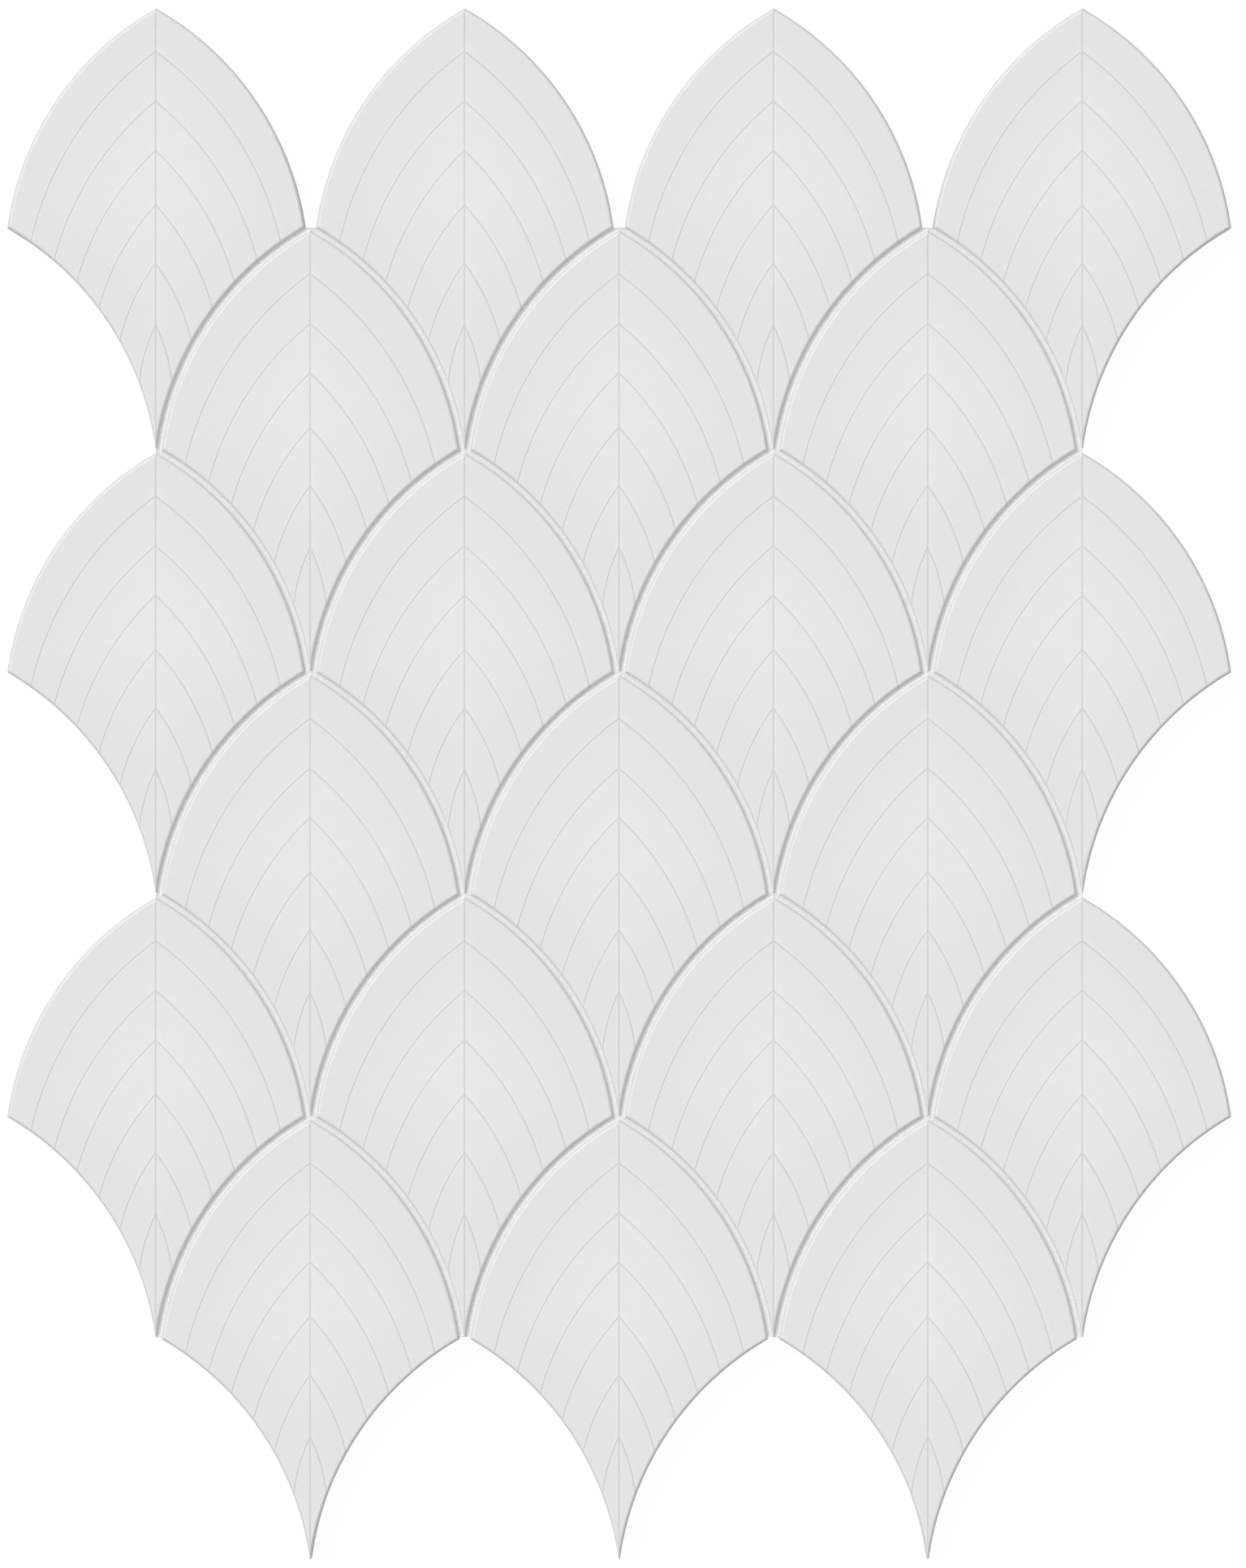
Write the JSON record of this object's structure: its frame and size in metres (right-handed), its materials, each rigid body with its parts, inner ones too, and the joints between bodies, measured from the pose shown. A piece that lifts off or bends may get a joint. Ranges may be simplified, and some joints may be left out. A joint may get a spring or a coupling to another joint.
{
  "type": "fish scale mosaic tile sheet",
  "caption": "Interlocking mosaic sheet of pointed fish scale tiles with engraved leaf veins, in a pale matt glaze, with filled joints and a mesh backing, for walls and floors.",
  "frame": {"origin": "middle of the sheet's bounding box in plan, on the underside of the mesh", "axes": "+Y towards the tips of the tiles, +X across the sheet, +Z out of the faces"},
  "size_m": [0.2854, 0.3616, 0.0085],
  "materials": {
    "glazed_tile": "matt off-white glaze, a little lighter in the middle of each half",
    "joint_filler": "pale sanded cement filler",
    "backing_mesh": "open-weave white fibreglass mesh"
  },
  "bodies": {
    "root": {"tile_1_1": "glazed_tile", "tile_1_2": "glazed_tile", "tile_1_3": "glazed_tile", "tile_1_4": "glazed_tile", "tile_2_1": "glazed_tile", "tile_2_2": "glazed_tile", "tile_2_3": "glazed_tile", "tile_3_1": "glazed_tile", "tile_3_2": "glazed_tile", "tile_3_3": "glazed_tile", "tile_3_4": "glazed_tile", "tile_4_1": "glazed_tile", "tile_4_2": "glazed_tile", "tile_4_3": "glazed_tile", "tile_5_1": "glazed_tile", "tile_5_2": "glazed_tile", "tile_5_3": "glazed_tile", "tile_5_4": "glazed_tile", "tile_6_1": "glazed_tile", "tile_6_2": "glazed_tile", "tile_6_3": "glazed_tile", "joint_filler": "joint_filler", "backing_mesh": "backing_mesh"}
  },
  "joints": []
}
